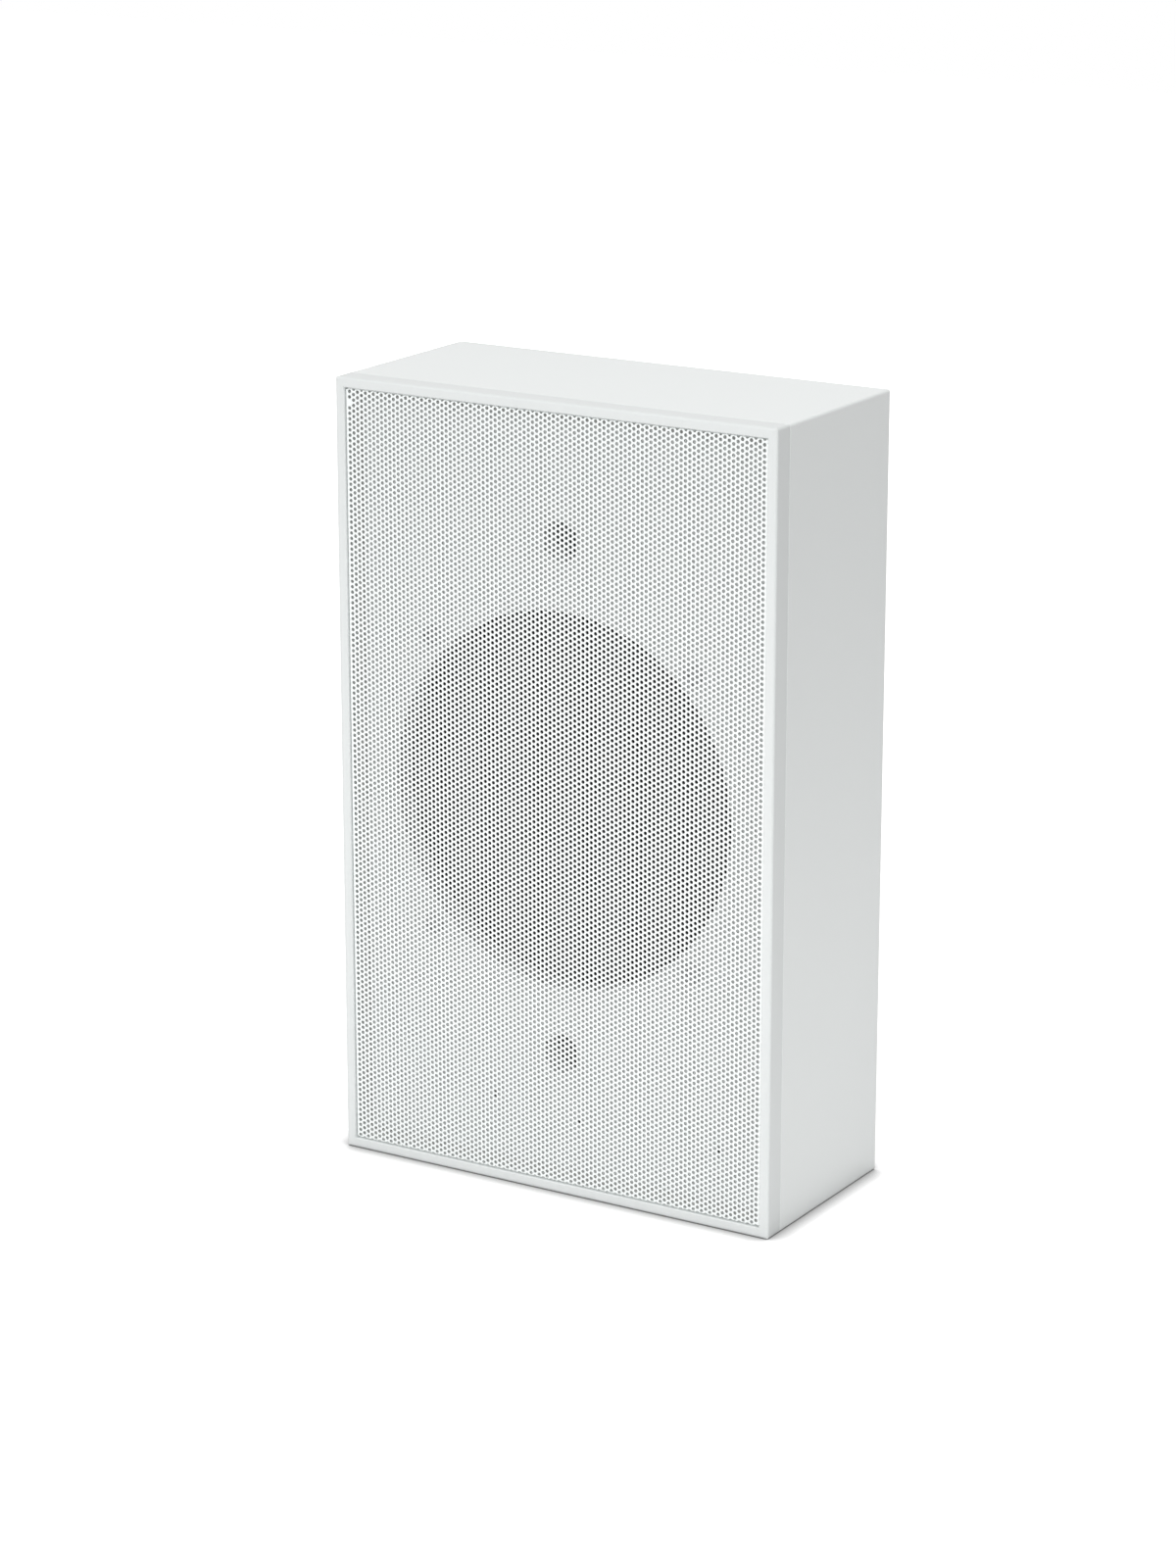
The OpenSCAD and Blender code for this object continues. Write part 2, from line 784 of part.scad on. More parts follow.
module solder_tags() {
    color("#c8a64a")
        along_y(flange_y) tag_place() translate([0, 0, basket_t + tag_board_t])
            for (s = [-1, 1])
                difference() {
                    translate([rivet_r - 3, s * tag_gap / 2 - tag_w / 2, 0])
                        cube([tag_len + 3, tag_w, tag_t]);
                    translate([rivet_r, s * tag_gap / 2, -cut])
                        cylinder(d = rivet_d + slack, h = tag_t + 2 * cut);
                    translate([rivet_r + tag_len - 2, s * tag_gap / 2, -cut])
                        cylinder(d = 1.6, h = tag_t + 2 * cut);
                }
}

// Rivets through the flange, the board and a tag
module tag_rivets() {
    stack = basket_t + tag_board_t + tag_t;
    color("#b9bbbd")
        along_y(flange_y) tag_place() for (s = [-1, 1])
            translate([rivet_r, s * tag_gap / 2, 0]) {
                cylinder(d = rivet_d, h = stack + rivet_head_h);
                translate([0, 0, stack]) cylinder(d = rivet_head_d, h = rivet_head_h);
            }
}

// Point on a cubic curve with four control points
function curve_point(p, s) =
    pow(1 - s, 3) * p[0] + 3 * pow(1 - s, 2) * s * p[1]
    + 3 * (1 - s) * s * s * p[2] + pow(s, 3) * p[3];

// Direction of that curve
function curve_way(p, s) =
    pow(1 - s, 2) * (p[1] - p[0]) + 2 * (1 - s) * s * (p[2] - p[1]) + s * s * (p[3] - p[2]);

// Tube of eight sides swept along such a curve, with its ends square to it
module lead(p, d, rings = 14) {
    sides = 8;
    reference = [0.31, 0.17, 0.93];
    points = [for (i = [0 : rings])
        let(along = curve_way(p, i / rings),
            u = cross(along, reference) / norm(cross(along, reference)),
            v = cross(along, u) / norm(cross(along, u)))
        for (k = [0 : sides - 1])
            curve_point(p, i / rings)
                + d / 2 * (cos(360 * k / sides) * u + sin(360 * k / sides) * v)];
    walls = [for (i = [0 : rings - 1], k = [0 : sides - 1])
        let(a = i * sides, b = a + sides, n = (k + 1) % sides)
        each [[a + k, b + k, b + n], [a + k, b + n, a + n]]];
    polyhedron(points, concat([[for (k = [0 : sides - 1]) k]], walls,
                              [[for (k = [sides - 1 : -1 : 0]) rings * sides + k]]),
               convexity = 4);
}

// Braided leads from the tags through a window to the back of the cone
module cone_leads() {
    start_depth = basket_t + tag_board_t + tag_t + joint_gap;
    joint = cone_line()[7];
    end_depth = joint[1] + cone_t + tinsel_d / 2;
    color("#c98a5a")
        along_y(flange_y) tag_place() for (s = [-1, 1])
            lead([[rivet_r - 2.5, s * (tag_gap / 2 + 0.8), start_depth],
                  [rivet_r - 2.5, s * (tag_gap / 2 + 0.8), spider_depth - 7.5],
                  [joint[0] + 8, s * 3, spider_depth - 0.6],
                  [joint[0], s * 3, end_depth]], tinsel_d);
}

module driver_screws() {
    reach = baffle_t + gasket_t + basket_t + m4_washer_t + m4_nut_h + m4_tail;
    color("#2a2a2c")
        driver_screw_places(baffle_y)
            difference() {
                union() {
                    cylinder(d = m4_d, h = reach);
                    translate([0, 0, -m4_head_h * 0.6])
                        cylinder(d = m4_head_d, h = m4_head_h * 0.6);
                    translate([0, 0, -m4_head_h])
                        cylinder(d1 = m4_head_d * 0.66, d2 = m4_head_d, h = m4_head_h * 0.4);
                }
                for (a = [0, 90]) rotate(a)
                    translate([0, 0, -m4_head_h])
                        cube([m4_head_d * 0.5, 1, 2.6], center = true);
            }
}

module driver_washers() {
    color("#b9bbbd")
        driver_screw_places(flange_y + basket_t)
            difference() {
                cylinder(d = m4_washer_d, h = m4_washer_t);
                translate([0, 0, -cut])
                    cylinder(d = m4_d + 4 * slack, h = m4_washer_t + 2 * cut);
            }
}

module driver_nuts() {
    color("#b9bbbd")
        driver_screw_places(flange_y + basket_t + m4_washer_t)
            difference() {
                cylinder(d = m4_nut_af / cos(30), h = m4_nut_h, $fn = 6);
                translate([0, 0, -cut])
                    cylinder(d = m4_d + slack, h = m4_nut_h + 2 * cut);
            }
}

// Puts a child at the middle of the transformer, with its front at y = 0
module trafo_place() {
    translate([trafo_x, core_y, trafo_mid_z]) children();
}

// The two screws of the bracket, pointing from the inside to the back
module trafo_screw_places() {
    for (s = [-1, 1])
        translate([trafo_x + s * (core_w / 2 + bracket_t + bracket_ear / 2),
                   inside_back_y, trafo_mid_z])
            rotate([-90, 0, 0]) children();
}

module transformer_core() {
    color("#6f7478")
        trafo_place() translate([0, 0, -stack_t / 2]) linear_extrude(stack_t)
            difference() {
                translate([-core_w / 2, 0]) square([core_w, core_h]);
                for (s = [-1, 1])
                    translate([s * (leg_core + window_w) / 2 - window_w / 2,
                               (core_h - window_h) / 2])
                        square([window_w, window_h]);
            }
}

module bobbin_block(w, h, low_y, high_y) {
    translate([-w / 2, low_y, -h / 2]) cube([w, high_y - low_y, h]);
}

module transformer_bobbin() {
    low = (core_h - window_h) / 2 + slack;
    high = low + window_h - 2 * slack;
    tube_w = leg_core + 2 * slack + 2 * bobbin_t;
    tube_h = stack_t + 2 * slack + 2 * bobbin_t;
    cheek_w = leg_core + 2 * window_w - 2 * slack;
    cheek_h = stack_t + 2 * window_w - 2 * slack;
    color("#e3ddc8")
        trafo_place() difference() {
            union() {
                bobbin_block(tube_w, tube_h, low, high);
                bobbin_block(cheek_w, cheek_h, low, low + bobbin_t);
                bobbin_block(cheek_w, cheek_h, high - bobbin_t, high);
            }
            bobbin_block(leg_core + 2 * slack, stack_t + 2 * slack, low - cut, high + cut);
        }
}

module transformer_winding() {
    low = (core_h - window_h) / 2 + slack + bobbin_t;
    high = low + window_h - 2 * slack - 2 * bobbin_t;
    tube_w = leg_core + 2 * slack + 2 * bobbin_t;
    tube_h = stack_t + 2 * slack + 2 * bobbin_t;
    color("#d9b23c")
        trafo_place() difference() {
            translate([0, high, 0]) rotate([90, 0, 0])
                linear_extrude(high - low) round_rect(coil_w, coil_h, 2);
            bobbin_block(tube_w, tube_h, low - cut, high + cut);
        }
}

// Strap over the core with an ear on each side
module transformer_bracket() {
    outer_w = core_w + 2 * bracket_t;
    color("#c4c7ca")
        difference() {
            trafo_place() translate([0, 0, -stack_t / 2]) linear_extrude(stack_t)
                difference() {
                    union() {
                        translate([-outer_w / 2, -bracket_t])
                            square([outer_w, core_h + bracket_t]);
                        translate([-outer_w / 2 - bracket_ear, core_h - bracket_t])
                            square([outer_w + 2 * bracket_ear, bracket_t]);
                    }
                    translate([-core_w / 2, 0]) square([core_w, core_h + cut]);
                }
            trafo_screw_places() translate([0, 0, -bracket_t - cut])
                cylinder(d = wood_d + 2 * slack, h = bracket_t + 2 * cut);
        }
}

module transformer_screws() {
    head_h = 2.2;
    color("#b9bbbd")
        trafo_screw_places() {
            translate([0, 0, -bracket_t]) cylinder(d = wood_d, h = bracket_t + small_len);
            translate([0, 0, -bracket_t - head_h])
                cylinder(d1 = wood_head_d * 0.7, d2 = wood_head_d, h = head_h);
        }
}

// The four screws of the connector recess, pointing to the front
module cup_screw_places() {
    for (sx = [-1, 1], sz = [-1, 1])
        translate([cup_x + sx * cup_screw_x, back_y, cup_mid_z + sz * cup_screw_z])
            turn_back() children();
}

// Places of the three poles in the terminal block
module pole_places(y) {
    for (i = [-1, 0, 1]) translate([cup_x + i * pole_pitch, y, block_z]) children();
}

module connector_recess() {
    color("#26272a")
        difference() {
            union() {
                translate([cup_x, back_y, cup_mid_z]) rotate([90, 0, 0])
                    linear_extrude(cup_d) round_rect(cup_w, cup_h, cup_corner_r);
                y_box(cup_w + 2 * cup_ear, cup_h + 2 * cup_lip, back_y - cup_t, back_y,
                      cup_x, cup_mid_z);
            }
            translate([cup_x, back_y + cut, cup_mid_z]) rotate([90, 0, 0])
                linear_extrude(cup_d - cup_t + cut)
                    round_rect(cup_w - 2 * cup_t, cup_h - 2 * cup_t, cup_corner_r - cup_t / 2);
            cup_screw_places()
                countersunk_hole(small_head_d, small_head_h, small_d, small_len);
            pole_places(cup_floor_y - cup_t - cut)
                translate([-blade_w / 2 - slack, 0, -blade_t / 2 - slack])
                    cube([blade_w + 2 * slack, cup_t + 2 * cut, blade_t + 2 * slack]);
        }
}

module recess_screws() {
    color("#b9bbbd")
        cup_screw_places() countersunk_screw(small_head_d, small_head_h, small_d, small_len);
}

// Block with a pocket for each brass insert, a wire entry below and a screw hole
module terminal_block() {
    top_y = cup_floor_y + block_d;
    color("#e8e6df")
        difference() {
            y_box(block_w, block_h, cup_floor_y, top_y, cup_x, block_z);
            pole_places(cup_floor_y - cut)
                translate([-insert_w / 2 - slack, 0, -insert_h / 2 - slack])
                    cube([insert_w + 2 * slack, insert_d + insert_inset + cut + slack,
                          insert_h + 2 * slack]);
            pole_places(cup_floor_y + insert_inset + insert_d)
                rotate([-90, 0, 0]) cylinder(d = 4.6, h = block_d);
            pole_places(cup_floor_y + insert_inset + insert_d / 2)
                translate([0, 0, -block_h]) cylinder(d = wire_hole_d + 2 * slack, h = block_h);
        }
}

module terminal_inserts() {
    color("#c8a64a")
        difference() {
            union() {
                pole_places(cup_floor_y + insert_inset)
                    translate([-insert_w / 2, 0, -insert_h / 2])
                        cube([insert_w, insert_d, insert_h]);
                pole_places(cup_floor_y - cup_t - blade_len)
                    translate([-blade_w / 2, 0, -blade_t / 2])
                        cube([blade_w, blade_len + cup_t + insert_inset + 0.5, blade_t]);
            }
            pole_places(cup_floor_y + insert_inset + insert_d / 2)
                translate([0, 0, -insert_h]) cylinder(d = wire_hole_d, h = insert_h);
            pole_places(cup_floor_y + insert_inset + 0.5 * insert_d)
                rotate([-90, 0, 0]) cylinder(d = 3 + slack, h = insert_d);
        }
}

module terminal_screws() {
    base = cup_floor_y + insert_inset + 0.7 * insert_d;
    top_y = cup_floor_y + block_d;
    color("#b9bbbd")
        pole_places(base)
            rotate([-90, 0, 0])
                difference() {
                    cylinder(d = 3, h = top_y - base - 0.4);
                    translate([-2, -0.35, top_y - base - 1.2]) cube([4, 0.7, 2]);
                }
}

module damping_pad() {
    color("#d8d8d2")
        y_box(inner_w - 2 * batten_s - 2 * pad_side, pad_h,
              inside_back_y - pad_t, inside_back_y);
}

// Insulated pair from the transformer up to the solder tags
module driver_leads() {
    tag_y = flange_y + basket_t + tag_board_t + tag_t + joint_gap;
    coil_y = core_y + core_h / 2;
    color("#b02a25")
        for (s = [-1, 1]) {
            out_r = rivet_r + tag_len - 2;
            side = s * tag_gap / 2;
            tag_x = -out_r * cos(tag_angle) + side * sin(tag_angle);
            tag_z = mid_z - out_r * sin(tag_angle) - side * cos(tag_angle);
            lead([[tag_x, tag_y, tag_z],
                  [tag_x, tag_y + lead_bend, tag_z],
                  [trafo_x + s * lead_step, coil_y, coil_top_z + lead_bend],
                  [trafo_x + s * lead_step, coil_y, coil_top_z + joint_gap]], lead_d);
        }
}

// Insulated leads from the blades of the terminal block to the side of the winding
module line_leads() {
    blade_y = cup_floor_y - cup_t - blade_len;
    coil_y = core_y + core_h / 2;
    coil_x = trafo_x + coil_w / 2;
    low_z = (coil_low_z + trafo_mid_z - stack_t / 2) / 2;
    color("#2f5fa8")
        for (i = [-1, 0, 1])
            lead([[cup_x + i * pole_pitch, blade_y - joint_gap, block_z],
                  [cup_x + i * pole_pitch, blade_y - lead_bend - i * lead_step, block_z],
                  [coil_x + lead_run, coil_y - i * lead_step, low_z],
                  [coil_x + joint_gap, coil_y - i * lead_step, low_z]], lead_d);
}

top_panel();
bottom_panel();
left_panel();
right_panel();
back_panel();
left_batten();
right_batten();
top_batten();
bottom_batten();
back_panel_screws();
front_frame();
baffle_board();
grille();
grille_foam_strip();
driver_gasket();
driver_basket();
surround();
cone();
whizzer_cone();
dust_cap();
voice_coil_former();
voice_coil_winding();
spider();
top_plate();
magnet();
yoke();
tag_board();
tag_rivets();
solder_tags();
cone_leads();
driver_screws();
driver_washers();
driver_nuts();
transformer_core();
transformer_bobbin();
transformer_winding();
transformer_bracket();
transformer_screws();
connector_recess();
recess_screws();
terminal_block();
terminal_inserts();
terminal_screws();
damping_pad();
driver_leads();
line_leads();
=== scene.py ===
import json
import math

import bpy
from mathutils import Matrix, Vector
from mathutils.geometry import delaunay_2d_cdt


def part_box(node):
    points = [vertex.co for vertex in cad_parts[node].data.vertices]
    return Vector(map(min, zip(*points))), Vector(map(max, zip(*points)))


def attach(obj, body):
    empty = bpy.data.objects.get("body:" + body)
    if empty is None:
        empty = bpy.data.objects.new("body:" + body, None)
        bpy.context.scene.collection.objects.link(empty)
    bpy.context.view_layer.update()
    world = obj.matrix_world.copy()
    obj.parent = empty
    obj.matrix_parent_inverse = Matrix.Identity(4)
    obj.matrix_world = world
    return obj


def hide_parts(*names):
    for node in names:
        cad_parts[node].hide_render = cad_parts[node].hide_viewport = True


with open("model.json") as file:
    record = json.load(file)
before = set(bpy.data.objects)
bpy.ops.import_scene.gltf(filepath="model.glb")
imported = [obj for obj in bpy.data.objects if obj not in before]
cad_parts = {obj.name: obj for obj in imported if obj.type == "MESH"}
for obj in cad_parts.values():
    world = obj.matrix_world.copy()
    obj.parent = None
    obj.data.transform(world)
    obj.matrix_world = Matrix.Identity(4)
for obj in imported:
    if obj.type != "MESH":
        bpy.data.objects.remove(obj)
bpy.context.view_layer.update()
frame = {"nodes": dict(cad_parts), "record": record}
scene = bpy.context.scene

# The grille in metres: half its width and height, its middle, its sheet and its fold
(gx0, gy0, gz0), (gx1, gy1, gz1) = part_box("grille")
HALF_W, HALF_H = (gx1 - gx0) / 2, (gz1 - gz0) / 2
MID_X, MID_Z = (gx0 + gx1) / 2, (gz0 + gz1) / 2
SHEET = 0.0005
FOLD = 0.0006
FLAT_W, FLAT_H = HALF_W - FOLD, HALF_H - FOLD

# The perforations: distance down a column, distance of the columns, and diameter.
# Each is drawn with few corners, set as far out as keeps the area of the round hole.
PITCH = 0.0020042
STEP = 0.0017263
HOLE = 0.00135
SIDES = 8
CORNER = HOLE / 2 * math.sqrt(2 * math.pi / (SIDES * math.sin(2 * math.pi / SIDES)))

# The flat blank: radius of its neutral line in the fold, length of the fold, skirt behind
# the fold, and how far the two reach. Points along a fold are POINT_GAP apart, and points
# closer than TINY are one.
NEUTRAL = FOLD - SHEET / 2
ARC = NEUTRAL * math.pi / 2
SKIRT = 0.0008
REACH = ARC + SKIRT
FOLD_STEPS = 6
POINT_GAP = 0.001
TINY = 1e-7

# The upper left hole, and the one below it that powder has blocked
FIRST_U = HALF_W - 0.0017
FIRST_V = HALF_H - 0.0012
BLOCKED = (-FIRST_U, FIRST_V - 2 * PITCH)

# The sheet is built as upright bands, parted after these columns of holes
SEAM_COLUMNS = (24, 49, 74)

# Three small dark spots on the face of the baffle, across and up
SPECKS = ((-0.0285, 0.0306), (0.0077, 0.0264), (0.0665, 0.0273))
SPECK_R = 0.0011
SPECK_EDGE = 0.0014

WHITE = (0.848, 0.872, 0.866)
RIM_WHITE = (0.735, 0.758, 0.754)
COAT_WHITE = (0.915, 0.945, 0.938)
DARK_SPOT = (0.05, 0.05, 0.05)


def math_node(tree, kind, a, b):
    """Output of a maths node; each of a and b is a number or another output."""
    node = tree.nodes.new("ShaderNodeMath")
    node.operation = kind
    for socket, value in zip(node.inputs, (a, b)):
        if isinstance(value, float):
            socket.default_value = value
        else:
            tree.links.new(value, socket)
    return node.outputs["Value"]


# Materials
class Look:
    """A material built from nodes round one Principled shader, in object coordinates."""

    def __init__(self, name, rough, metal=0.0, sheen=0.0, specular=0.5):
        self.slot = name
        self.mat = bpy.data.materials.new(name)
        self.mat.use_nodes = True
        self.tree = self.mat.node_tree
        self.tree.nodes.clear()
        self.out = self.add("ShaderNodeOutputMaterial")
        self.bsdf = self.add("ShaderNodeBsdfPrincipled")
        self.bsdf.inputs["Roughness"].default_value = rough
        self.bsdf.inputs["Metallic"].default_value = metal
        self.bsdf.inputs["Sheen Weight"].default_value = sheen
        self.bsdf.inputs["Specular IOR Level"].default_value = specular
        self.link(self.bsdf.outputs["BSDF"], self.out.inputs["Surface"])
        self.place = self.add("ShaderNodeTexCoord").outputs["Object"]

    def add(self, kind):
        return self.tree.nodes.new(kind)

    def link(self, a, b):
        self.tree.links.new(a, b)

    def stretched(self, scale):
        """The place, scaled along each axis, for grain that runs one way."""
        mapping = self.add("ShaderNodeMapping")
        mapping.inputs["Scale"].default_value = scale
        self.link(self.place, mapping.inputs["Vector"])
        return mapping.outputs["Vector"]

    def noise(self, size_mm, detail=2.0, rough=0.5, place=None):
        tex = self.add("ShaderNodeTexNoise")
        tex.inputs["Scale"].default_value = 1000.0 / size_mm
        tex.inputs["Detail"].default_value = detail
        tex.inputs["Roughness"].default_value = rough
        self.link(place or self.place, tex.inputs["Vector"])
        return tex.outputs["Fac"]

    def ramp(self, value, low, high):
        """The value between low and high, spread over 0 to 1."""
        node = self.add("ShaderNodeMapRange")
        node.inputs["From Min"].default_value = low
        node.inputs["From Max"].default_value = high
        self.link(value, node.inputs["Value"])
        return node.outputs["Result"]

    def mix(self, share, a, b):
        """From a to b by a share; each of them is a colour or another output."""
        node = self.add("ShaderNodeMix")
        node.data_type = "RGBA"
        self.link(share, node.inputs["Factor"])
        for socket, value in zip((node.inputs["A"], node.inputs["B"]), (a, b)):
            if hasattr(value, "is_linked"):
                self.link(value, socket)
            else:
                socket.default_value = (*value, 1.0)
        return node.outputs["Result"]

    def colour(self, value):
        self.link(value, self.bsdf.inputs["Base Color"])

    def rough(self, share, low, high):
        node = self.add("ShaderNodeMapRange")
        node.inputs["To Min"].default_value = low
        node.inputs["To Max"].default_value = high
        self.link(share, node.inputs["Value"])
        self.link(node.outputs["Result"], self.bsdf.inputs["Roughness"])

    def bump(self, height, depth_mm):
        node = self.add("ShaderNodeBump")
        node.inputs["Strength"].default_value = 1.0
        node.inputs["Distance"].default_value = depth_mm / 1000.0
        self.link(height, node.inputs["Height"])
        self.link(node.outputs["Normal"], self.bsdf.inputs["Normal"])


def shade(rgb, by):
    return tuple(c * by for c in rgb)


def plain(name, rgb, rough, grain_mm, vary, bump_mm, metal=0.0, sheen=0.0, specular=0.5,
          stretch=None):
    """A surface with slight variation of colour and gloss, and a fine bump."""
    look = Look(name, rough, metal, sheen, specular)
    where = look.stretched(stretch) if stretch else None
    grain = look.noise(grain_mm, 3.0, 0.55, where)
    look.colour(look.mix(grain, shade(rgb, 1 - vary), shade(rgb, 1 + vary)))
    look.rough(grain, rough * 0.9, min(1.0, rough * 1.1))
    look.bump(grain, bump_mm)
    return look


def foil_board(name, rgb):
    """White foil on board with an even fine grain, and the spots on the face of the baffle."""
    look = Look(name, 0.42)
    grain = look.noise(0.5)
    drift = look.noise(60.0, 1.0)
    tone = look.mix(drift, shade(rgb, 0.992), shade(rgb, 1.008))
    tone = look.mix(look.ramp(grain, 0.3, 0.7), tone, shade(rgb, 0.985))
    face_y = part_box("baffle_board")[0][1]
    for x, z in SPECKS:
        gap = look.add("ShaderNodeVectorMath")
        gap.operation = "DISTANCE"
        gap.inputs[1].default_value = (x, face_y, z)
        look.link(look.place, gap.inputs[0])
        spot = look.ramp(gap.outputs["Value"], SPECK_EDGE, SPECK_R)
        tone = look.mix(spot, tone, DARK_SPOT)
    look.colour(tone)
    look.rough(grain, 0.38, 0.48)
    look.bump(grain, 0.012)
    return look


def coated_sheet(name, rgb):
    """Powder coat, white on the face, with painted shade that darkens the punched hole walls and
    the back.
    """
    # Painted shade: below the face, on the hole walls and the back of the sheet, the colour
    # darkens to half; the folds are left out.
    unshaded_depth = 0.00002
    shaded_depth = 0.0001
    painted_shade = 0.5
    fold_margin = 0.0003
    look = Look(name, 0.4)
    grain = look.noise(0.25, 3.0, 0.55)
    tone = look.mix(grain, shade(rgb, 0.988), shade(rgb, 1.012))
    axes = look.add("ShaderNodeSeparateXYZ")
    look.link(look.place, axes.inputs[0])
    # Mask of the painted shade: 0 on the face, 1 from a tenth of a millimetre deep, and back to 0
    # over the folds
    behind = look.ramp(axes.outputs["Y"], gy0 + unshaded_depth, gy0 + shaded_depth)
    for axis, middle, flat in (("X", MID_X, FLAT_W), ("Z", MID_Z, FLAT_H)):
        off = math_node(look.tree, "SUBTRACT", axes.outputs[axis], middle)
        off = math_node(look.tree, "ABSOLUTE", off, 0.0)
        inside = look.ramp(off, flat, flat - fold_margin)
        behind = math_node(look.tree, "MULTIPLY", behind, inside)
    look.colour(look.mix(behind, tone, shade(rgb, painted_shade)))
    look.rough(grain, 0.36, 0.44)
    look.bump(grain, 0.008)
    return look


def sawn_wood(name, rgb):
    """Raw wood whose grain runs up and down."""
    look = Look(name, 0.65)
    grain = look.noise(3.0, 4.0, 0.6, look.stretched((1.0, 1.0, 0.06)))
    look.colour(look.mix(grain, shade(rgb, 0.72), shade(rgb, 1.15)))
    look.bump(grain, 0.05)
    return look


# Each plain look has its colour, roughness, grain in mm, variation and depth of bump in mm
slot_looks = (
    foil_board("white_foil_board", WHITE),
    sawn_wood("raw_wood", (0.62, 0.46, 0.27)),
    plain("zinc_steel", (0.62, 0.64, 0.66), 0.32, 0.4, 0.08, 0.004, metal=1.0),
    plain("white_plastic", RIM_WHITE, 0.38, 0.35, 0.012, 0.006),
    coated_sheet("white_powder_coat", COAT_WHITE),
    plain("foam", (0.72, 0.72, 0.7), 0.9, 0.5, 0.06, 0.08, specular=0.2),
    plain("gasket_card", (0.28, 0.2, 0.12), 0.85, 0.6, 0.15, 0.02),
    plain("black_painted_steel", (0.035, 0.036, 0.04), 0.42, 0.5, 0.12, 0.01),
    plain("black_cloth", (0.02, 0.02, 0.022), 0.75, 0.35, 0.3, 0.03, sheen=0.1),
    plain("black_paper", (0.022, 0.022, 0.024), 0.82, 0.8, 0.25, 0.03),
    plain("brown_paper", (0.43, 0.25, 0.09), 0.7, 0.8, 0.1, 0.01),
    plain("copper", (0.62, 0.28, 0.14), 0.35, 0.3, 0.12, 0.01, metal=1.0, stretch=(1.0, 8.0, 1.0)),
    plain("spider_cloth", (0.55, 0.33, 0.1), 0.8, 0.4, 0.2, 0.03),
    plain("ferrite", (0.03, 0.03, 0.033), 0.5, 0.6, 0.2, 0.015),
    plain("brown_laminate", (0.2, 0.07, 0.02), 0.4, 0.7, 0.15, 0.004),
    plain("brass", (0.6, 0.42, 0.1), 0.3, 0.4, 0.08, 0.003, metal=1.0),
    plain("black_steel", (0.6, 0.61, 0.62), 0.45, 0.4, 0.08, 0.004),
    plain("core_steel", (0.2, 0.21, 0.22), 0.45, 0.5, 0.2, 0.03, metal=1.0,
          stretch=(0.05, 0.05, 1.0)),
    plain("cream_plastic", (0.75, 0.7, 0.58), 0.4, 0.5, 0.02, 0.005),
    plain("winding_tape", (0.7, 0.45, 0.06), 0.35, 1.5, 0.06, 0.01),
    plain("black_plastic", (0.025, 0.026, 0.03), 0.48, 0.3, 0.12, 0.012),
    plain("wadding", (0.7, 0.7, 0.66), 0.95, 2.5, 0.12, 0.4, sheen=0.3, specular=0.1),
    plain("red_insulation", (0.42, 0.02, 0.02), 0.4, 0.6, 0.05, 0.003),
    plain("blue_insulation", (0.03, 0.12, 0.4), 0.4, 0.6, 0.05, 0.003),
)
materials = {look.slot: look.mat for look in slot_looks}
slot_of = {part["node"]: part["material_slot"] for part in frame["record"]["subparts"]}
for name, ob in frame["nodes"].items():
    ob.data.materials.clear()
    ob.data.materials.append(materials[slot_of[name]])


# Grille: a flat blank with every perforation, bent over the folds
def bent(u, v, depth):
    """Where a point of the flat blank lies on the folded sheet, depth below its face."""
    du, dv = max(0.0, abs(u) - FLAT_W), max(0.0, abs(v) - FLAT_H)
    r = math.hypot(du, dv)
    if r < TINY:
        return MID_X + u, gy0 + depth, MID_Z + v
    angle = min(r / NEUTRAL, math.pi / 2)
    out = (FOLD - depth) * math.sin(angle)
    down = FOLD - (FOLD - depth) * math.cos(angle) + max(0.0, r - ARC)
    x = math.copysign(min(abs(u), FLAT_W) + out * du / r, u)
    z = math.copysign(min(abs(v), FLAT_H) + out * dv / r, v)
    return MID_X + x, gy0 + down, MID_Z + z


def hole_places():
    """Centres of the perforations on the flat blank, column by column from the left.

    They keep clear of the cut edges and off the rounded corners.
    """
    edge_room = CORNER * 1.04
    corner_reach = 0.0003
    columns, rows = math.ceil(2 * HALF_W / STEP), math.ceil(2 * HALF_H / PITCH)
    places = []
    for i in range(-1, columns + 1):
        u = -FIRST_U + i * STEP
        shift = (i % 2) * PITCH / 2
        for j in range(-1, rows + 1):
            v = FIRST_V - shift - j * PITCH
            over_u, over_v = abs(u) - FLAT_W, abs(v) - FLAT_H
            if max(over_u, over_v) < REACH - edge_room and min(over_u, over_v) <= corner_reach:
                places.append((u, v))
    return places


def blank_outline(low, high):
    """Corners of the part of the rounded blank between two upright cuts."""
    far = FLAT_W + REACH
    points = []
    for sx, sz, turn in ((1, -1, 3), (1, 1, 0), (-1, 1, 1), (-1, -1, 2)):
        edge = high if sx > 0 else low
        if abs(edge) < far - TINY:
            steps = [ARC * k / FOLD_STEPS for k in range(FOLD_STEPS + 1)] + [REACH]
            if sx * sz < 0:
                steps.reverse()
            points += [(edge, sz * (FLAT_H + s)) for s in steps]
            continue
        for k in range(FOLD_STEPS + 1):
            a = (turn + k / FOLD_STEPS) * math.pi / 2
            points.append((sx * FLAT_W + REACH * math.cos(a), sz * FLAT_H + REACH * math.sin(a)))
    return points


def fold_points(low, high):
    """Points along the folds of a band, so that its faces bend with them."""
    arcs = [ARC * k / FOLD_STEPS for k in range(FOLD_STEPS + 1)]
    points = []
    length = int(2 * FLAT_H / POINT_GAP)
    for side, edge in ((-1, low), (1, high)):
        if abs(edge) > FLAT_W:
            for s in arcs:
                points += [(side * (FLAT_W + s), -FLAT_H + 2 * FLAT_H * k / length)
                           for k in range(length + 1)]
    left, right = max(low, -FLAT_W), min(high, FLAT_W)
    width = int((right - left) / POINT_GAP)
    for side in (-1, 1):
        for s in arcs:
            points += [(left + (right - left) * k / width, side * (FLAT_H + s))
                       for k in range(1, width)]
    return points


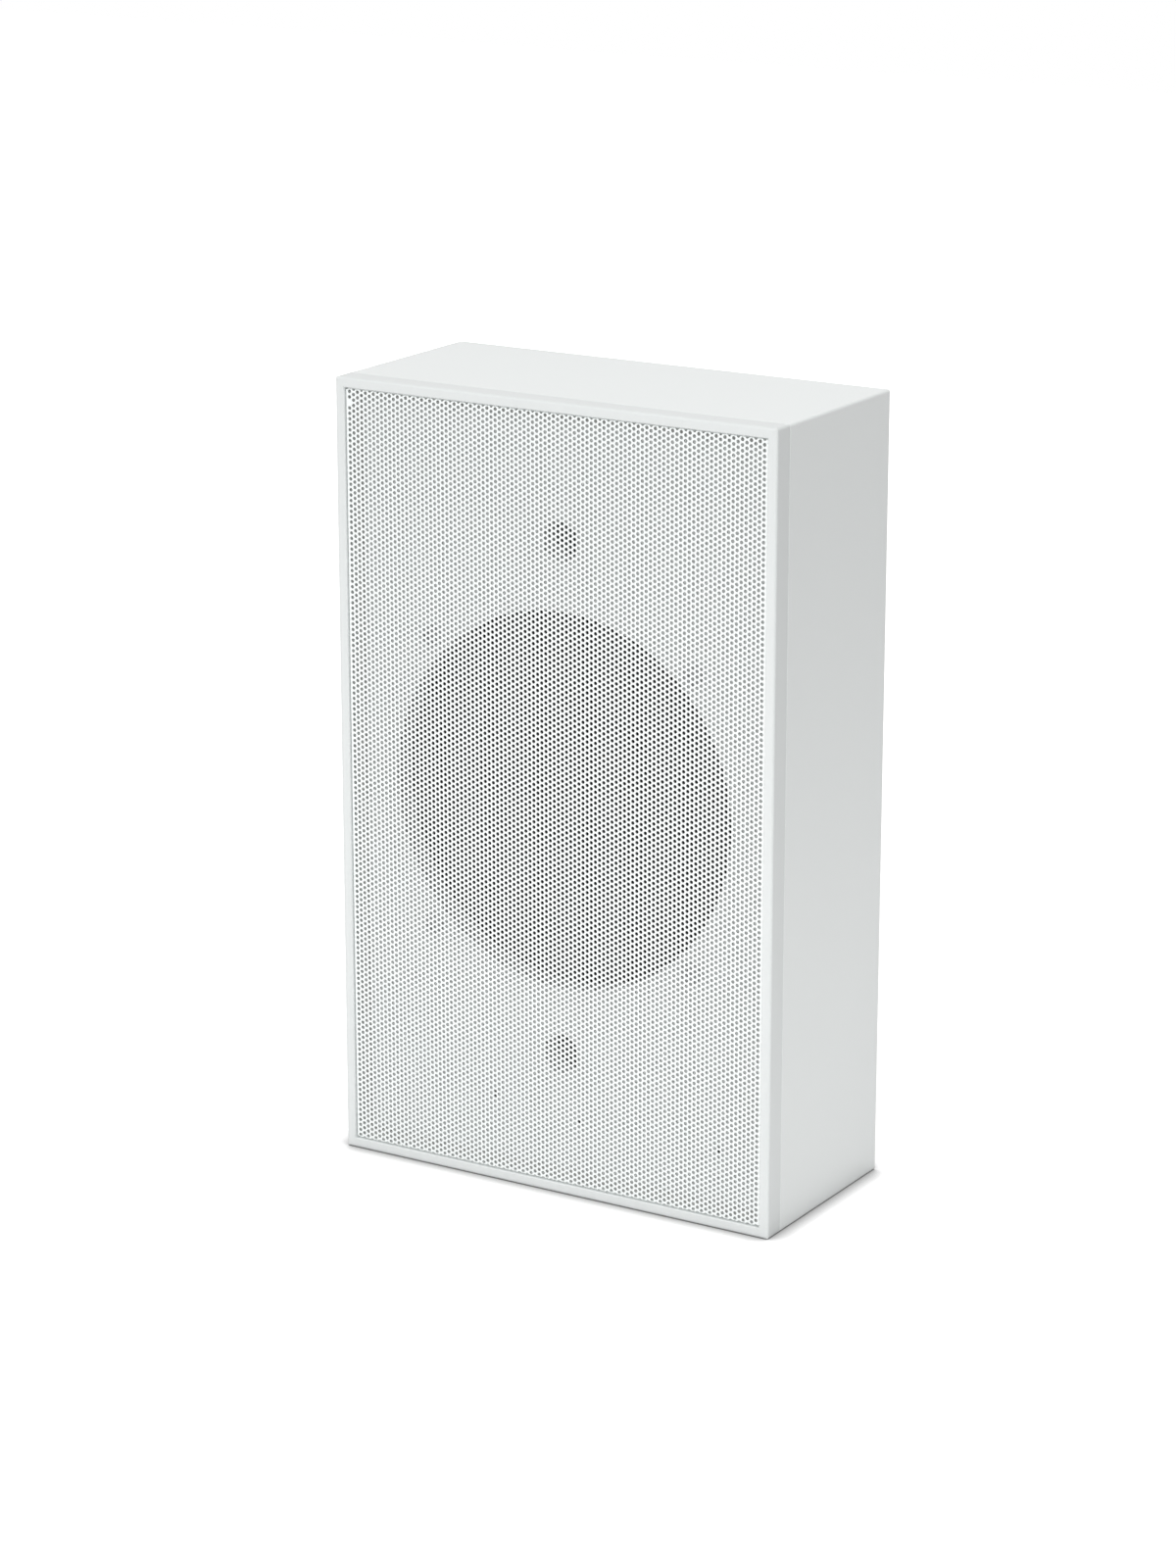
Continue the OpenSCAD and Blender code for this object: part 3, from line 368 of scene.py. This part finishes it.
def perforated(low, high, centres):
    """Points and faces of one upright band of the blank, with its holes left open."""
    verts = [Vector(p) for p in blank_outline(low, high)]
    edges = [(i, (i + 1) % len(verts)) for i in range(len(verts))]
    ring_of = {}
    near = {}
    clear = CORNER * 1.06
    for cu, cv in centres:
        first = len(verts)
        for k in range(SIDES):
            a = (k + 0.5) * 2 * math.pi / SIDES
            verts.append(Vector((cu + CORNER * math.cos(a), cv + CORNER * math.sin(a))))
            edges.append((first + k, first + (k + 1) % SIDES))
            ring_of[first + k] = first
        near.setdefault((round(cu / PITCH), round(cv / PITCH)), []).append((cu, cv))

    def free(u, v):
        a, b = round(u / PITCH), round(v / PITCH)
        return all(math.hypot(u - cu, v - cv) > clear
                   for i in (a - 1, a, a + 1) for j in (b - 1, b, b + 1)
                   for cu, cv in near.get((i, j), ()))

    verts += [Vector(p) for p in fold_points(low, high) if free(*p)]
    inside_outline = 1
    flat, _, faces, _, _, _ = delaunay_2d_cdt(verts, edges, [], inside_outline, TINY)
    # A face with all its corners on one ring fills that hole, and is left out
    sheet = [list(f) for f in faces if len({ring_of.get(i, -1 - i) for i in f}) > 1]
    return flat, sheet


def grille_piece(name, points, faces):
    """A piece of the finely perforated grille, in place of the CAD one."""
    mesh = bpy.data.meshes.new(name)
    mesh.from_pydata(points, [], faces)
    mesh.validate()
    ob = bpy.data.objects.new(name, mesh)
    scene.collection.objects.link(ob)
    mesh.materials.append(materials["white_powder_coat"])
    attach(ob, "root")
    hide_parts("grille")


def sheet_piece(name, low, high, centres):
    """One band of the sheet with its face, its back and its cut edges."""
    flat, front = perforated(low, high, centres)
    count = len(flat)
    points = [bent(p.x, p.y, 0.0) for p in flat] + [bent(p.x, p.y, SHEET) for p in flat]
    border = {}
    for f in front:
        for a, b in zip(f, f[1:] + f[:1]):
            if (b, a) in border:
                del border[(b, a)]
            else:
                border[(a, b)] = True
    back = [[i + count for i in reversed(f)] for f in front]
    walls = [[b, a, a + count, b + count] for a, b in border]
    grille_piece(name, points, front + back + walls)


def rounded_loop(half_w, half_h, r):
    """Corner points of a rounded rectangle round the middle of the grille."""
    points = []
    for sx, sz, turn in ((1, 1, 0), (-1, 1, 1), (-1, -1, 2), (1, -1, 3)):
        for k in range(FOLD_STEPS + 1):
            a = (turn + k / FOLD_STEPS) * math.pi / 2
            points.append((MID_X + sx * (half_w - r) + r * math.cos(a),
                           MID_Z + sz * (half_h - r) + r * math.sin(a)))
    return points


def flange():
    """The four sides of the folded tray, behind the fold."""
    outer = rounded_loop(HALF_W, HALF_H, FOLD)
    inner = rounded_loop(HALF_W - SHEET, HALF_H - SHEET, FOLD - SHEET)
    n = len(outer)
    front_y = gy0 + FOLD + SKIRT
    rings = ((outer, front_y), (outer, gy1), (inner, gy1), (inner, front_y))
    points = [(x, y, z) for ring, y in rings for x, z in ring]
    faces = []
    for r in range(len(rings)):
        a, b = r * n, (r + 1) % len(rings) * n
        faces += [[a + k, b + k, b + (k + 1) % n, a + (k + 1) % n] for k in range(n)]
    grille_piece("grille_flange", points, faces)


centres = [c for c in hole_places() if math.dist(c, BLOCKED) > HOLE]
seams = [-FIRST_U + (column + 0.5) * STEP for column in SEAM_COLUMNS]
cuts = [-FLAT_W - REACH] + seams + [FLAT_W + REACH]
for k, (low, high) in enumerate(zip(cuts, cuts[1:])):
    band = [c for c in centres if low < c[0] < high]
    sheet_piece("grille_sheet_%d" % (k + 1), low, high, band)
flange()


# Stage: the floor's own grey, its glow to the eye and its half width, the reach and power
# of the shadow under what stands on it, and the soft light from all round
FLOOR_GREY = 0.7
FLOOR_GLOW = 0.78
FLOOR_HALF = 3.0
CONTACT_REACH = 0.011
CONTACT_POWER = 1.6
WORLD_LIGHT = 0.38


def straight_ray(tree):
    """1 for rays from the camera, off gloss or through clear stuff, else 0."""
    path = tree.nodes.new("ShaderNodeLightPath")
    either = math_node(tree, "MAXIMUM", path.outputs["Is Camera Ray"],
                       path.outputs["Is Glossy Ray"])
    return math_node(tree, "MAXIMUM", either, path.outputs["Is Transmission Ray"])


def floor_look():
    """Pale floor that looks white, darker only close to what stands on it."""
    mat = bpy.data.materials.new("floor_look")
    mat.use_nodes = True
    tree = mat.node_tree
    tree.nodes.clear()
    out = tree.nodes.new("ShaderNodeOutputMaterial")
    diffuse = tree.nodes.new("ShaderNodeBsdfDiffuse")
    glow = tree.nodes.new("ShaderNodeEmission")
    glow.inputs["Color"].default_value = (1, 1, 1, 1)
    contact = tree.nodes.new("ShaderNodeAmbientOcclusion")
    contact.inputs["Distance"].default_value = CONTACT_REACH
    deeper = math_node(tree, "POWER", contact.outputs["AO"], CONTACT_POWER)
    shaded = tree.nodes.new("ShaderNodeCombineXYZ")
    for socket in shaded.inputs:
        tree.links.new(math_node(tree, "MULTIPLY", deeper, FLOOR_GREY), socket)
    tree.links.new(shaded.outputs[0], diffuse.inputs["Color"])
    seen = math_node(tree, "MULTIPLY", straight_ray(tree), FLOOR_GLOW)
    tree.links.new(math_node(tree, "MULTIPLY", seen, deeper), glow.inputs["Strength"])
    total = tree.nodes.new("ShaderNodeAddShader")
    tree.links.new(diffuse.outputs[0], total.inputs[0])
    tree.links.new(glow.outputs[0], total.inputs[1])
    tree.links.new(total.outputs[0], out.inputs["Surface"])
    return mat


def add_floor():
    corners = ((-1, -1), (1, -1), (1, 1), (-1, 1))
    points = [(x * FLOOR_HALF, y * FLOOR_HALF, 0) for x, y in corners]
    mesh = bpy.data.meshes.new("floor")
    mesh.from_pydata(points, [], [[0, 1, 2, 3]])
    ob = bpy.data.objects.new("floor", mesh)
    scene.collection.objects.link(ob)
    mesh.materials.append(floor_look())


def set_world():
    """Soft light from all round, and plain white to the eye."""
    world = bpy.data.worlds.new("studio")
    scene.world = world
    world.use_nodes = True
    tree = world.node_tree
    tree.nodes.clear()
    out = tree.nodes.new("ShaderNodeOutputWorld")
    pick = tree.nodes.new("ShaderNodeMixShader")
    tree.links.new(straight_ray(tree), pick.inputs[0])
    for socket, strength in zip(pick.inputs[1:], (WORLD_LIGHT, 1.0)):
        light = tree.nodes.new("ShaderNodeBackground")
        light.inputs["Color"].default_value = (1, 1, 1, 1)
        light.inputs["Strength"].default_value = strength
        tree.links.new(light.outputs[0], socket)
    tree.links.new(pick.outputs[0], out.inputs["Surface"])


def aimed(ob, target):
    ob.rotation_euler = (Vector(target) - ob.location).to_track_quat("-Z", "Y").to_euler()


def area_light(name, place, target, size, power):
    """Square lamp; its size in metres and its power in watts."""
    data = bpy.data.lights.new(name, "AREA")
    data.shape = "SQUARE"
    data.size = size
    data.energy = power
    ob = bpy.data.objects.new(name, data)
    ob.location = place
    aimed(ob, target)
    scene.collection.objects.link(ob)


def add_camera(azimuth, elevation, distance, target, lens):
    """Camera round the target: azimuth to the right of the front, both angles in degrees."""
    az, el = math.radians(azimuth), math.radians(elevation)
    away = Vector((math.sin(az) * math.cos(el), -math.cos(az) * math.cos(el), math.sin(el)))
    data = bpy.data.cameras.new("camera")
    data.sensor_width = 36
    data.sensor_fit = "AUTO"
    data.lens = lens
    ob = bpy.data.objects.new("camera", data)
    ob.location = Vector(target) + away * distance
    aimed(ob, target)
    scene.collection.objects.link(ob)
    scene.camera = ob


add_floor()
set_world()
area_light("key", (0.5, -2.2, 1.7), (0, 0, 0.1), size=1.6, power=40)
area_light("top", (0.2, 0.1, 1.8), (0, 0, 0.3), size=1.2, power=7.8)
area_light("back_left", (-1.3, 1.6, 0.15), (0, 0.04, 0.15), size=0.3, power=9)
area_light("low_front", (-0.02, -0.36, 0.03), (0, -0.04, 0), size=0.3, power=0.36)
area_light("low_side", (0.3, -0.02, 0.02), (0.09, -0.02, 0), size=0.2, power=0.098)
# The camera is fitted to the cabinet's corners in the photograph
add_camera(azimuth=31.46, elevation=16.18, distance=1.557, target=(0.0157, -0.041, 0.1584),
           lens=100.42)
scene.view_settings.view_transform = "Standard"
